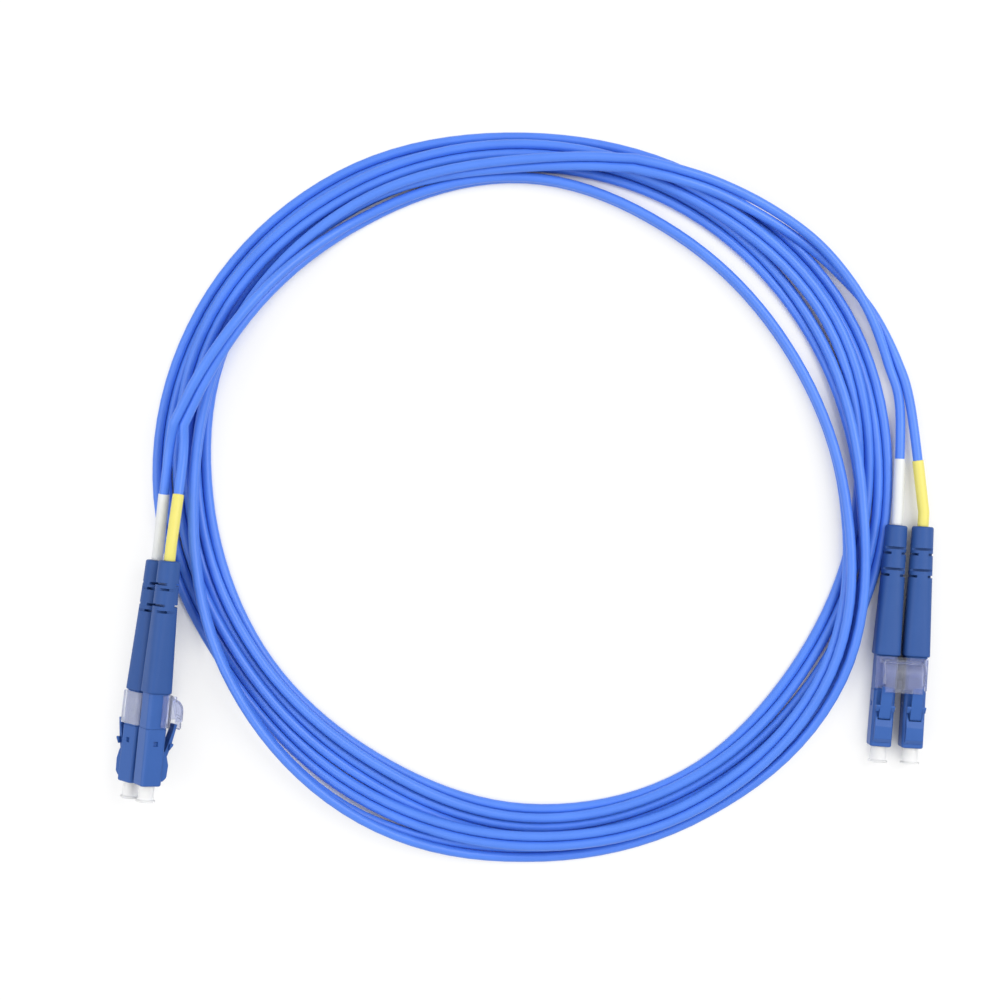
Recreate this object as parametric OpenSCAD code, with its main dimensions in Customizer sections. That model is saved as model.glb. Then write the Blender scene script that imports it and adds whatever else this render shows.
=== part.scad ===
// Duplex fibre optic patch cord, laid in a ring of four and a half turns, with two small
// form factor plugs at each end. Millimetres. +Z is up and the floor is z = 0.
// The origin is the middle of the ring on the floor. +Y points to the ring's 12 o'clock.
// A plug is drawn along its own +X, from the boot's rear (x = 0) to the dust cap, latch up.

/* [Cord] */
// Diameter of one jacketed strand
strand_d = 2; // [1.8:0.1:2]
// Distance between the middles of the two strands
strand_pitch = 2.05; // [2.05:0.01:2.1]
// Height from one layer of the ring to the next
layer_h = 2.5; // [2.5:0.01:2.6]
// Diameter of the tight-buffered fibre inside a strand
buffer_d = 0.9; // [0.6:0.1:0.9]

/* [Plug] */
// Width and height of the plug housing
housing_w = 4.52; // [4.4:0.01:4.6]
// Diameter of the ceramic ferrule
ferrule_d = 1.25; // [1.24:0.01:1.26]
// Width of the latch arm
latch_w = 2.3; // [2:0.1:2.5]
// Distance between the two plugs of a clipped pair
pair_pitch = 6.25; // [6.25:0.01:6.3]
// Width of one clear clip, and height of either kind
clip_w = 5.6; // [5.5:0.05:5.6]
// Outer diameter of the dust cap
cap_d = 3.2; // [3:0.1:3.2]

/* [Boot] */
// Length of the strain relief boot
boot_l = 27.3; // [27:0.1:27.5]
// Diameter of the boot where the cord enters
boot_rear_d = 4.5; // [4:0.1:4.6]
// Width of the boot where it meets the plug
boot_front_w = 5.6; // [5.3:0.1:5.6]
// Width of one flex slot
slot_w = 0.5; // [0.3:0.05:0.5]

/* [Marker sleeve] */
// Length of the coloured sleeve on each strand
sleeve_l = 13.9; // [10:0.1:14]
// Wall of the sleeve
sleeve_wall = 0.15; // [0.1:0.01:0.2]

/* [Hidden] */

CORD_BLUE = [0.29, 0.51, 0.92];
PLUG_BLUE = [0.23, 0.39, 0.69];
CLEAR = [0.72, 0.73, 0.84, 0.5];
MARKER_WHITE = [0.92, 0.93, 0.92];
MARKER_YELLOW = [0.94, 0.90, 0.43];
CAP_WHITE = [0.93, 0.93, 0.93, 0.8];
CERAMIC = [0.95, 0.94, 0.9];
STEEL = [0.75, 0.76, 0.78];
YARN = [0.93, 0.82, 0.35];

FINE = 32;
EPS = 0.01;

// Where each plug lies: the middle of its boot's rear, then its roll and its heading.
// a carries the white sleeve and b the yellow one.
LEFT_A = [[-76.8, -13.2, 5.1], [130, 0, -96.6]];
LEFT_B = [[-73.3, -13.2, 10.1], [-125, 0, -95.8]];
RIGHT_A = [[78.0, -5.9, 2.8], [0, 0, -94.7]];
RIGHT_B = [[83.5, -6.2, 2.8], [0, 0, -93.3]];
// The right-hand pair shares one clip, whose frame lies midway between its two plugs
RIGHT_PAIR = [(RIGHT_A[0] + RIGHT_B[0]) / 2, (RIGHT_A[1] + RIGHT_B[1]) / 2];

// ---- The ring -------------------------------------------------------------------------

// Each row is one turn, from 9 o'clock clockwise, at every twelfth of the way round.
// The radius is where the pair of strands runs, between the two.
TURN_R = [
    [74.9, 69.4, 67.5, 67.1, 63.8, 63.5, 66.8, 72.8, 73.7, 72.0, 71.4, 71.6],
    [76.3, 77.9, 77.2, 74.8, 75.6, 77.2, 75.4, 73.0, 71.5, 70.5, 67.3, 68.0],
    [71.9, 74.9, 74.0, 72.9, 72.6, 74.0, 71.2, 68.4, 68.0, 66.5, 63.7, 64.8],
    [67.7, 72.0, 71.6, 70.65, 70.3, 69.8, 70.3, 76.0, 75.8, 74.9, 75.3, 72.2],
    [69.3, 70.4, 70.5, 69.5, 75.3, 79.4],
];
// How many layers the lower strand lies above the floor
TURN_LAYER = [
    [2.8, 3.1, 0, 0, 0, 0, 0.9, 1.3, 1, 1.2, 0.3, 0],
    [0, 0, 0, 0, 0, 0, 0, 0, 0, 0, 0, 0],
    [0, 1, 1, 1, 1, 1, 0, 0, 0, 0, 0, 0],
    [0, 0, 0, 0, 0, 0, 1, 1, 0, 0, 0.5, 1.3],
    [1, 1, 1, 1.7, 2, 1],
];
// How far the pair is turned: 0 lies flat with strand a outside, 90 has a above b
TURN_ROLL = [
    [0, 55, 75, 90, 90, 90, 90, 45, 0, 0, 0, 0],
    [0, 0, 0, 0, 0, 0, 0, 0, 0, 0, 0, 50],
    [0, 0, 0, 0, 0, 0, 0, 0, 60, 30, 60, 60],
    [0, 0, 0, 0, 0, 45, 90, 75, 0, 0, 80, 90],
    [90, 90, 85, 45, 0, 0],
];
STATIONS = 12;
RINGS_PER_TURN = 24;
COIL_SIDES = 6;
COIL_START = 0.5;
COIL_END = 51.5;
END_STUB = strand_d;

strand_r = strand_d / 2;
floor_z = strand_r * cos(180 / COIL_SIDES);

function flat(rows) = [for (row = rows) for (v = row) v];
STATION_R = flat(TURN_R);
STATION_LAYER = flat(TURN_LAYER);
STATION_ROLL = flat(TURN_ROLL);

// A smooth curve through list v at place s, which counts stations
function clamped(v, i) = v[max(0, min(len(v) - 1, i))];
function cubic(p, q, r, t, f) =
    q + 0.5 * f * ((r - p) + f * (2 * p - 5 * q + 4 * r - t + f * (3 * (q - r) + t - p)));
function along(v, s) = let (i = floor(s))
    cubic(clamped(v, i - 1), clamped(v, i), clamped(v, i + 1), clamped(v, i + 2), s - i);

// Angle from +X at place s, for a ring that runs clockwise from 9 o'clock
function bearing(s) = 180 - s * 360 / STATIONS;

// Middle of one strand at place s; side is 1 for strand a and -1 for strand b
function strand_at(s, side) =
    let (roll = max(0, along(STATION_ROLL, s)))
    let (r = along(STATION_R, s) + side * strand_pitch / 2 * cos(roll))
    let (z = floor_z + max(0, along(STATION_LAYER, s)) * layer_h
        + (1 + side) * strand_pitch / 2 * sin(roll))
    [r * cos(bearing(s)), r * sin(bearing(s)), z];

function unit(v) = v / norm(v);
SMALL_STEP = 0.02;
function heading_at(s, side) =
    unit(strand_at(s + SMALL_STEP, side) - strand_at(s - SMALL_STEP, side));

ring_count = (COIL_END - COIL_START) * RINGS_PER_TURN / STATIONS;
function coil_path(side) = concat(
    [strand_at(COIL_START, side) - END_STUB * heading_at(COIL_START, side)],
    [for (i = [0 : ring_count]) strand_at(COIL_START + i * STATIONS / RINGS_PER_TURN, side)],
    [strand_at(COIL_END, side) + END_STUB * heading_at(COIL_END, side)]);

// ---- Tubes swept along a path ---------------------------------------------------------

function tangent(path, i) =
    i == 0 ? unit(path[1] - path[0])
    : i == len(path) - 1 ? unit(path[i] - path[i - 1])
    : unit(unit(path[i + 1] - path[i]) + unit(path[i] - path[i - 1]));
function level_side(t) = unit(cross(t, [0, 0, 1]));

// One ring of points square to the path; turn sets whether a flat or a corner is down
function ring(path, i, r, sides, turn) =
    let (t = tangent(path, i), n = level_side(t), u = cross(n, t))
    [for (k = [0 : sides - 1])
        let (a = turn + k * 360 / sides) path[i] + r * (cos(a) * n + sin(a) * u)];

module tube(path, r, sides, turn = 0) {
    rings = len(path);
    points = [for (i = [0 : rings - 1]) each ring(path, i, r, sides, turn)];
    sides_faces = [for (i = [0 : rings - 2]) for (k = [0 : sides - 1])
        let (a = i * sides + k, b = i * sides + (k + 1) % sides)
        each [[a, a + sides, b], [b, a + sides, b + sides]]];
    first = [for (k = [1 : sides - 2]) [0, k, k + 1]];
    last = let (o = (rings - 1) * sides) [for (k = [1 : sides - 2]) [o, o + k + 1, o + k]];
    polyhedron(points, concat(sides_faces, first, last), convexity = 10);
}

// A pipe with a wall: outer and inner skins joined by a flat ring at each end
module pipe(path, r_out, r_in, sides, turn = 0) {
    rings = len(path);
    points = concat(
        [for (i = [0 : rings - 1]) each ring(path, i, r_out, sides, turn)],
        [for (i = [0 : rings - 1]) each ring(path, i, r_in, sides, turn)]);
    inner = rings * sides;
    walls = [for (i = [0 : rings - 2]) for (k = [0 : sides - 1])
        let (a = i * sides + k, b = i * sides + (k + 1) % sides)
        each [[a, a + sides, b], [b, a + sides, b + sides],
            [inner + a, inner + b, inner + a + sides],
            [inner + b, inner + b + sides, inner + a + sides]]];
    ends = [for (k = [0 : sides - 1])
        let (m = (k + 1) % sides, o = (rings - 1) * sides)
        each [[k, m, inner + k], [m, inner + m, inner + k],
            [o + k, inner + o + k, o + m], [o + m, inner + o + k, inner + o + m]]];
    polyhedron(points, concat(walls, ends), convexity = 10);
}

// Distance from a point to a straight piece of path
function point_to_piece(p, a, b) =
    let (d = b - a, f = max(0, min(1, (p - a) * d / (d * d)))) norm(p - a - f * d);
// Least distance from a tube's middle line to itself, half a turn or more away
function least_self_distance(path) =
    let (skip = RINGS_PER_TURN / 2)
    min([for (i = [0 : len(path) - 1]) for (j = [i + skip : 1 : len(path) - 2])
        point_to_piece(path[i], path[j], path[j + 1])]);

echo(least_gap_coil_strand_a = least_self_distance(coil_path(1)) - strand_d);
echo(least_gap_coil_strand_b = least_self_distance(coil_path(-1)) - strand_d);

// ---- The leads from the ring to the boots ---------------------------------------------

// A route point is [degrees clockwise from 12 o'clock, radius, height]
RIGHT_ROUTE_A = [[25, 75.3, 6.2], [32, 77.1, 5.3], [40, 79.2, 4.0], [48, 81.0, 3.6],
    [55, 81.8, 3.2], [62, 81.9, 3.2], [70, 81.4, 1.9], [77, 80.9, 2.2]];
RIGHT_ROUTE_B = [[25, 73.2, 6.2], [32, 75.0, 5.3], [40, 77.0, 3.6], [48, 79.4, 2.0],
    [55, 81.3, 1.06], [62, 82.9, 1.06], [70, 83.4, 1.6], [77, 83.2, 2.3]];
LEFT_ROUTE_A = [[276, 74.7, 6.4]];
LEFT_ROUTE_B = [[276, 71.4, 7.8]];
LEAD_SIDES = 8;
LEAD_STEPS = 2;
LEAD_FLAT_TURN = 180 / LEAD_SIDES;
// How far a strand reaches into its boot
LEAD_IN = 14.8;

function polar_point(p) = [p[1] * sin(p[0]), p[1] * cos(p[0]), p[2]];
function turn_x(v, a) = [v[0], v[1] * cos(a) - v[2] * sin(a), v[1] * sin(a) + v[2] * cos(a)];
function turn_z(v, a) = [v[0] * cos(a) - v[1] * sin(a), v[0] * sin(a) + v[1] * cos(a), v[2]];
// A point of a plug's own frame, in the frame of the whole cord
function from_plug(plug, p) = plug[0] + turn_z(turn_x(p, plug[1][0]), plug[1][2]);

STRAIGHT_OUT = 3;
// From the crimp back through the boot, straight out of it, by the route to the ring's end
function lead_knots(plug, route, meet, meet_dir) = concat(
    [for (x = [-STRAIGHT_OUT]) from_plug(plug, [x, 0, 0])],
    [for (p = route) polar_point(p)],
    [meet - END_STUB * meet_dir, meet]);
function smooth(knots, steps) = concat(
    [for (i = [0 : len(knots) - 3]) for (k = [0 : steps - 1]) let (f = k / steps)
        cubic(knots[max(0, i - 1)], knots[i], knots[i + 1], knots[i + 2], f)],
    [knots[len(knots) - 2], knots[len(knots) - 1]]);
function lead_path(plug, route, meet, meet_dir) = concat(
    [from_plug(plug, [LEAD_IN, 0, 0]), from_plug(plug, [0, 0, 0])],
    smooth(lead_knots(plug, route, meet, meet_dir), LEAD_STEPS));

function left_meet(side) = coil_path(side)[0];
function right_meet(side) = coil_path(side)[len(coil_path(side)) - 1];
function reversed(v) = [for (i = [len(v) - 1 : -1 : 0]) v[i]];

LEFT_PATH_A = lead_path(LEFT_A, LEFT_ROUTE_A, left_meet(1), heading_at(COIL_START, 1));
LEFT_PATH_B = lead_path(LEFT_B, LEFT_ROUTE_B, left_meet(-1), heading_at(COIL_START, -1));
RIGHT_PATH_A = lead_path(RIGHT_A, reversed(RIGHT_ROUTE_A), right_meet(1),
    -heading_at(COIL_END, 1));
RIGHT_PATH_B = lead_path(RIGHT_B, reversed(RIGHT_ROUTE_B), right_meet(-1),
    -heading_at(COIL_END, -1));

module coil_strand(side) {
    color(CORD_BLUE) tube(coil_path(side), strand_r, COIL_SIDES);
}

module lead(path) {
    color(CORD_BLUE) tube(path, strand_r, LEAD_SIDES, LEAD_FLAT_TURN);
}

// The sleeve follows its strand from the boot until its length is used up
function run_length(path, i) = i <= 1 ? 0 : run_length(path, i - 1) + norm(path[i] - path[i - 1]);
function sleeve_path(path) =
    let (whole = [for (i = [1 : len(path) - 1]) if (run_length(path, i) < sleeve_l - 0.5) path[i]])
    let (n = len(whole), left = sleeve_l - run_length(path, n))
    concat(whole, [path[n] + left * unit(path[n + 1] - path[n])]);

module marker_sleeve(path, tint) {
    inner_r = (strand_r + 0.02) / cos(180 / LEAD_SIDES);
    color(tint)
        pipe(sleeve_path(path), inner_r + sleeve_wall, inner_r, LEAD_SIDES, LEAD_FLAT_TURN);
}

// ---- The plug -------------------------------------------------------------------------

clip_x0 = 27.5;
clip_x1 = 34.2;
rear_body_x1 = 34.6;
housing_x1 = 46.4;
cap_x1 = 49.8;

half_w = housing_w / 2;
ferrule_r = ferrule_d / 2;
buffer_r = buffer_d / 2;
nipple_r = 1.25;
nipple_x0 = 16;
nipple_x1 = 24;
collar_r = 1.95;
neck_r = 1.7;
neck_x1 = 38.4;
spring_bore_r = 1.35;
spring_x0 = 32.5;
flange_x0 = 39.6;
flange_x1 = 42.1;
flange_r = 1.4;
tail_r = 0.7;
tail_x0 = 36.2;
ferrule_x0 = 39.2;
ferrule_x1 = 48.3;
nose_x0 = 43;
nose_r = 1.85;
ring_x0 = 16.4;
ring_x1 = 22.6;
ring_r = 1.85;
ring_wall = 0.3;
latch_root_x = 40;
latch_root_z = 2.95;
latch_tail_x = 33.6;
trigger_root_x = 28.3;
trigger_root_z = 3.25;

module at(plug) {
    translate(plug[0]) rotate(plug[1]) children();
}

// A rod along the plug's axis
module rod(x0, x1, r, fn = FINE) {
    translate([x0, 0, 0]) rotate([0, 90, 0]) cylinder(r = r, h = x1 - x0, $fn = fn);
}

// A side outline drawn in x and z, given a width across the plug
module side_profile(width) {
    rotate([90, 0, 0]) linear_extrude(width, center = true) children();
}

// A section drawn across the plug, run from x0 to x1
module section(x0, x1) {
    translate([x0, 0, 0]) rotate([90, 0, 90]) linear_extrude(x1 - x0) children();
}

module chamfered(w, h, c) {
    polygon([[-w / 2 + c, -h / 2], [w / 2 - c, -h / 2], [w / 2, -h / 2 + c], [w / 2, h / 2 - c],
        [w / 2 - c, h / 2], [-w / 2 + c, h / 2], [-w / 2, h / 2 - c], [-w / 2, -h / 2 + c]]);
}

module boot() {
    corner = 1.5;
    slots = [4.5, 5.6, 8.9, 10.2];
    color(PLUG_BLUE) difference() {
        hull() {
            rod(0, 0.6, boot_rear_d / 2 - 0.15);
            rod(0.3, 1, boot_rear_d / 2);
            section(boot_l - 0.8, boot_l) offset(r = corner, $fn = FINE)
                square(boot_front_w - 2 * corner, center = true);
        }
        rod(-1, LEAD_IN + 1, strand_r + 0.06);
        rod(LEAD_IN, 23.6, ring_r + 0.1);
        rod(23.5, boot_l + 1, collar_r + 0.1);
        for (i = [0 : len(slots) - 1]) flex_slot(slots[i], i % 2 * 90);
    }
}

// Two short cuts opposite each other; the next pair is turned a quarter
module flex_slot(x, turn) {
    reach = 3;
    bridge = 1.1;
    for (side = [0, 180])
        rotate([turn + side, 0, 0])
            translate([x, -reach, bridge]) cube([slot_w, 2 * reach, reach]);
}

module crimp_ring() {
    groove_w = 0.5;
    color(STEEL) difference() {
        rod(ring_x0, ring_x1, ring_r);
        rod(ring_x0 - 1, ring_x1 + 1, ring_r - ring_wall);
        for (x = [ring_x0 + 1.6, ring_x0 + 4.1]) difference() {
            rod(x, x + groove_w, ring_r + 1);
            rod(x - 1, x + groove_w + 1, ring_r - 0.1);
        }
    }
}

module aramid_yarn() {
    color(YARN) for (plug = [LEFT_A, LEFT_B, RIGHT_A, RIGHT_B]) at(plug) difference() {
        rod(ring_x0, ring_x1, ring_r - ring_wall - 0.02);
        rod(ring_x0 - 1, ring_x1 + 1, nipple_r + 0.02);
    }
}

module rear_body() {
    lug = 0.35;
    color(PLUG_BLUE) difference() {
        union() {
            rod(nipple_x0, nipple_x1 + EPS, nipple_r);
            rod(nipple_x1, boot_l, collar_r);
            section(boot_l, rear_body_x1) chamfered(4.5, 4.5, 0.6);
            rod(rear_body_x1 - EPS, neck_x1, neck_r);
            translate([37.2, -neck_r - lug, -0.4]) cube([0.8, 2 * (neck_r + lug), 0.8]);
        }
        rod(nipple_x0 - 1, spring_x0 + EPS, buffer_r + 0.1);
        rod(spring_x0, neck_x1 + 1, spring_bore_r);
    }
}

module housing() {
    window_x = 37.1;
    block_w = 3.6;
    block_x1 = 45.4;
    ramp = 2;
    color(PLUG_BLUE) difference() {
        union() {
            section(rear_body_x1, housing_x1) chamfered(housing_w, housing_w, 0.45);
            side_profile(block_w) polygon([[latch_root_x - 0.9, half_w - 0.5],
                [block_x1, half_w - 0.5], [block_x1, half_w + 0.3],
                [block_x1 - 0.8, half_w + 1.1], [latch_root_x + ramp, half_w + 1.25],
                [latch_root_x + 0.3, half_w + 0.75], [latch_root_x - 0.9, half_w + 0.05]]);
        }
        rod(rear_body_x1 - 1, neck_x1 + 0.1, neck_r + 0.02);
        rod(neck_x1, flange_x1 + 0.1, flange_r + 0.12);
        rod(flange_x1, nose_x0 + EPS, ferrule_r + 0.15);
        rod(nose_x0, housing_x1 + 1, nose_r);
        translate([window_x, -3, -0.5]) cube([1, 6, 1]);
        latch_pocket();
    }
}

// Room in the top of the housing for the latch's root, open to the rear
module latch_pocket() {
    gap = 0.12;
    width = latch_w + 2 * gap;
    translate([latch_root_x, 0, latch_root_z]) rotate([90, 0, 0])
        cylinder(r = 0.45 + gap, h = width, center = true, $fn = FINE);
    translate([latch_root_x - 3, -width / 2, latch_root_z - 0.45 - gap])
        cube([3, width, 3]);
}

// A springy arm that rises to the rear, with a lug on each side that catches the adapter
module latch() {
    lug_span = 3.95;
    color(PLUG_BLUE) {
        translate([latch_root_x, 0, latch_root_z]) rotate([90, 0, 0])
            cylinder(r = 0.45, h = latch_w, center = true, $fn = FINE);
        side_profile(latch_w) polygon([[latch_root_x, latch_root_z - 0.45],
            [latch_root_x, latch_root_z + 0.45], [37.6, 4.15], [35, 4.75],
            [latch_tail_x, 5.05], [latch_tail_x, 4.35], [35, 4.1], [37.4, 3.4]]);
        side_profile(lug_span) polygon([[38.9, 3.35], [37.9, 4.1], [37.5, 4.1], [37.6, 3.45]]);
    }
}

clip_inner_w = 4.64;
trigger_w = 3.4;
pair_trigger_w = pair_pitch + 2.4;

// Clear walls round the rear bodies at these places along Y, from low_z up, with a mouth
// along the underside through which each rear body snaps in
module clip_walls(places, low_z) {
    mouth = 2.6;
    groove = [0.4, 0.5];
    width = clip_w + places[len(places) - 1] - places[0];
    difference() {
        section(clip_x0, clip_x1) chamfered(width, clip_w, 0.5);
        for (y = places) translate([0, y, 0]) {
            section(clip_x0 - 1, clip_x1 + 1) chamfered(clip_inner_w, clip_inner_w, 0.62);
            translate([clip_x0 - 1, -mouth / 2, -clip_w])
                cube([clip_x1 - clip_x0 + 2, mouth, clip_w]);
        }
        translate([clip_x1 - 1.3, -width, 1.2]) cube([groove[0], 2 * width, groove[1]]);
        translate([clip_x0 - 1, -width, low_z - clip_w])
            cube([clip_x1 - clip_x0 + 2, 2 * width, clip_w]);
    }
}

// The two posts that carry a trigger of this width
module trigger_posts(width) {
    post = [1.2, 0.55, 0.9];
    for (side = [-1, 1])
        translate([trigger_root_x - post[0] / 2, side * (width / 2 + 0.38) - post[1] / 2,
            clip_w / 2 - EPS])
            cube(post);
}

// A short saddle that grips the latch side of one rear body
module saddle_clip() {
    color(CLEAR) {
        clip_walls([0], 0.55);
        trigger_posts(trigger_w);
    }
}

// A sleeve round one rear body, put on from the side away from the latch, with no trigger
module plain_clip() {
    color(CLEAR) rotate([180, 0, 0]) clip_walls([0], -clip_w);
}

// The clip that joins a pair, with one wide trigger for both latches. Its outer sides are
// open: a hook along each top edge and the web in the middle hold the rear bodies.
module pair_clip() {
    hook_y = (pair_pitch + 4.5) / 2;
    color(CLEAR) {
        difference() {
            clip_walls([-pair_pitch / 2, pair_pitch / 2], -clip_w);
            for (side = [0, 180]) rotate([side, 0, 0]) {
                translate([clip_x0 - 1, hook_y, -clip_w])
                    cube([clip_x1 - clip_x0 + 2, clip_w, 2 * clip_w]);
            }
            for (side = [-1, 1])
                translate([clip_x0 - 1, side * (hook_y + 0.5) - 1.5, -clip_w])
                    cube([clip_x1 - clip_x0 + 2, 3, clip_w]);
        }
        trigger_posts(pair_trigger_w);
    }
}

// The hump that the thumb presses; its front edge reaches over the latch's tail
module trigger(width) {
    wall = 0.45;
    top_z = 5.75;
    front_x = 34.7;
    ridge_x = 32.2;
    color(CLEAR) difference() {
        union() {
            side_profile(width) hump_outline(trigger_root_x, front_x, top_z);
            translate([trigger_root_x, 0, trigger_root_z]) rotate([90, 0, 0])
                cylinder(r = 0.35, h = width, center = true, $fn = FINE);
            side_profile(width) polygon([[ridge_x - 0.4, top_z - 0.1], [ridge_x + 0.4, top_z - 0.1],
                [ridge_x + 0.2, top_z + 0.2], [ridge_x - 0.2, top_z + 0.2]]);
        }
        side_profile(width - 2 * wall)
            translate([0.7, -wall]) hump_outline(trigger_root_x, front_x + 1, top_z);
        // The sides stop short of the latches' tails
        translate([latch_tail_x - 0.4, -width, 0])
            cube([3, 2 * width, top_z - wall]);
    }
}

// A quarter of an ellipse that rises from the root, a flat top, and a rounded front edge
module hump_outline(x0, x1, top) {
    steps = 8;
    low_front = 4.3;
    low_z = 3.3;
    rise = 2.6;
    front_r = 0.6;
    polygon(concat(
        [for (i = [0 : steps]) let (a = 90 * i / steps)
            [x0 + rise * (1 - cos(a)), low_z + (top - low_z) * sin(a)]],
        [for (i = [0 : 3]) let (a = 30 * i)
            [x1 - front_r * (1 - sin(a)), top - front_r * (1 - cos(a))]],
        [[x1, low_front], [x0 + 0.4, low_z - 0.3]]));
}

SPRING_CURLS = 6;
RINGS_PER_CURL = 8;
wire_d = 0.34;
coil_r = 1.1;
module spring() {
    length = flange_x0 - spring_x0 - 0.2;
    count = SPRING_CURLS * RINGS_PER_CURL;
    helix = [for (i = [0 : count])
        [spring_x0 + 0.1 + wire_d / 2 + (length - wire_d) * i / count,
            coil_r * cos(i * 360 / RINGS_PER_CURL), coil_r * sin(i * 360 / RINGS_PER_CURL)]];
    color(STEEL) tube(helix, wire_d / 2, 6);
}

module ferrule_flange() {
    color(STEEL) difference() {
        union() {
            rod(tail_x0, flange_x0 + EPS, tail_r);
            rod(flange_x0, flange_x1, flange_r);
        }
        rod(tail_x0 - 1, ferrule_x0 + EPS, buffer_r + 0.08);
        rod(ferrule_x0, flange_x1 + 1, ferrule_r);
        for (turn = [0 : 90 : 270])
            rotate([turn, 0, 0]) translate([flange_x0 + 0.8, -0.25, flange_r - 0.3])
                cube([flange_x1, 0.5, 1]);
    }
}

module ferrule() {
    tip = 0.3;
    color(CERAMIC) {
        rod(ferrule_x0, ferrule_x1 - tip, ferrule_r);
        translate([ferrule_x1 - tip, 0, 0]) rotate([0, 90, 0])
            cylinder(r1 = ferrule_r, r2 = ferrule_r - 0.15, h = tip, $fn = FINE);
    }
}

module fibre() {
    color(MARKER_WHITE) rod(LEAD_IN, ferrule_x0 - 1.2, buffer_r);
}

module dust_cap() {
    flange_t = 0.4;
    cap_x0 = 43.4;
    color(CAP_WHITE) difference() {
        union() {
            rod(cap_x0, cap_x1, cap_d / 2);
            rod(cap_x1 - flange_t, cap_x1, cap_d / 2 + 0.4);
        }
        rod(cap_x0 - 1, ferrule_x1 + 0.5, ferrule_r + 0.1);
    }
}

// ---- One line for each node -----------------------------------------------------------

coil_strand(1);  // coil_strand_a
coil_strand(-1);  // coil_strand_b
lead(LEFT_PATH_A);  // left_lead_a
lead(LEFT_PATH_B);  // left_lead_b
lead(RIGHT_PATH_A);  // right_lead_a
lead(RIGHT_PATH_B);  // right_lead_b
marker_sleeve(LEFT_PATH_A, MARKER_WHITE);  // left_a_marker_sleeve
marker_sleeve(LEFT_PATH_B, MARKER_YELLOW);  // left_b_marker_sleeve
marker_sleeve(RIGHT_PATH_A, MARKER_WHITE);  // right_a_marker_sleeve
marker_sleeve(RIGHT_PATH_B, MARKER_YELLOW);  // right_b_marker_sleeve
aramid_yarn();
at(LEFT_A) boot();  // left_a_boot
at(LEFT_B) boot();  // left_b_boot
at(RIGHT_A) boot();  // right_a_boot
at(RIGHT_B) boot();  // right_b_boot
at(LEFT_A) crimp_ring();  // left_a_crimp_ring
at(LEFT_B) crimp_ring();  // left_b_crimp_ring
at(RIGHT_A) crimp_ring();  // right_a_crimp_ring
at(RIGHT_B) crimp_ring();  // right_b_crimp_ring
at(LEFT_A) rear_body();  // left_a_rear_body
at(LEFT_B) rear_body();  // left_b_rear_body
at(RIGHT_A) rear_body();  // right_a_rear_body
at(RIGHT_B) rear_body();  // right_b_rear_body
at(LEFT_A) housing();  // left_a_housing
at(LEFT_B) housing();  // left_b_housing
at(RIGHT_A) housing();  // right_a_housing
at(RIGHT_B) housing();  // right_b_housing
at(LEFT_A) latch();  // left_a_latch
at(LEFT_B) latch();  // left_b_latch
at(RIGHT_A) latch();  // right_a_latch
at(RIGHT_B) latch();  // right_b_latch
at(LEFT_A) plain_clip();  // left_a_clip
at(LEFT_B) saddle_clip();  // left_b_clip
at(RIGHT_PAIR) pair_clip();  // right_clip
at(LEFT_B) trigger(trigger_w);  // left_b_trigger
at(RIGHT_PAIR) trigger(pair_trigger_w);  // right_trigger
at(LEFT_A) spring();  // left_a_spring
at(LEFT_B) spring();  // left_b_spring
at(RIGHT_A) spring();  // right_a_spring
at(RIGHT_B) spring();  // right_b_spring
at(LEFT_A) ferrule_flange();  // left_a_ferrule_flange
at(LEFT_B) ferrule_flange();  // left_b_ferrule_flange
at(RIGHT_A) ferrule_flange();  // right_a_ferrule_flange
at(RIGHT_B) ferrule_flange();  // right_b_ferrule_flange
at(LEFT_A) ferrule();  // left_a_ferrule
at(LEFT_B) ferrule();  // left_b_ferrule
at(RIGHT_A) ferrule();  // right_a_ferrule
at(RIGHT_B) ferrule();  // right_b_ferrule
at(LEFT_A) fibre();  // left_a_fibre
at(LEFT_B) fibre();  // left_b_fibre
at(RIGHT_A) fibre();  // right_a_fibre
at(RIGHT_B) fibre();  // right_b_fibre
at(LEFT_A) dust_cap();  // left_a_dust_cap
at(LEFT_B) dust_cap();  // left_b_dust_cap
at(RIGHT_A) dust_cap();  // right_a_dust_cap
at(RIGHT_B) dust_cap();  // right_b_dust_cap
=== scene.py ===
"""A duplex fibre optic patch cord: a coiled pair of blue strands with a pair of latching plugs at
each end."""

import math

import bmesh
import bpy
import numpy as np
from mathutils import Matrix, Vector


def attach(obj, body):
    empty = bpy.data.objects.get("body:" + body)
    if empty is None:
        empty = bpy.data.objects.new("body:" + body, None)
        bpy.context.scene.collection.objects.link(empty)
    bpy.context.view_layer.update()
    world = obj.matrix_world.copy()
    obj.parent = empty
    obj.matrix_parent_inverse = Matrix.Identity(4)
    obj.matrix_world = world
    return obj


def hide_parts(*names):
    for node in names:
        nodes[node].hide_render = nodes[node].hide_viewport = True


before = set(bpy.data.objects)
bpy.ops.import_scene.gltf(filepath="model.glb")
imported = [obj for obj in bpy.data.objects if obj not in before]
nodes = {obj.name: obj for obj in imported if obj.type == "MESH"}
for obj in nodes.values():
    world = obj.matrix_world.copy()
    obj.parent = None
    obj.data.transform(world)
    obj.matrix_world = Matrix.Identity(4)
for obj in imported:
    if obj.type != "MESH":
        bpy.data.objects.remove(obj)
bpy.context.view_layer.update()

MM = 0.001
ROOT = "cord"
ENDS = ("left_a", "left_b", "right_a", "right_b")


# ---- Camera, light and floor ------------------------------------------------------------
# A camera straight above the coil, a soft overcast room with a broad window of light on the
# right and a weaker one on the left, and a white table that keeps a faint shadow.

FIELD = 0.210
CAMERA_HEIGHT = 0.400
FOCUS_PLANE = 0.0025
CAMERA_XY = (-0.00525, -0.00063)
SENSOR = 36.0

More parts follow.
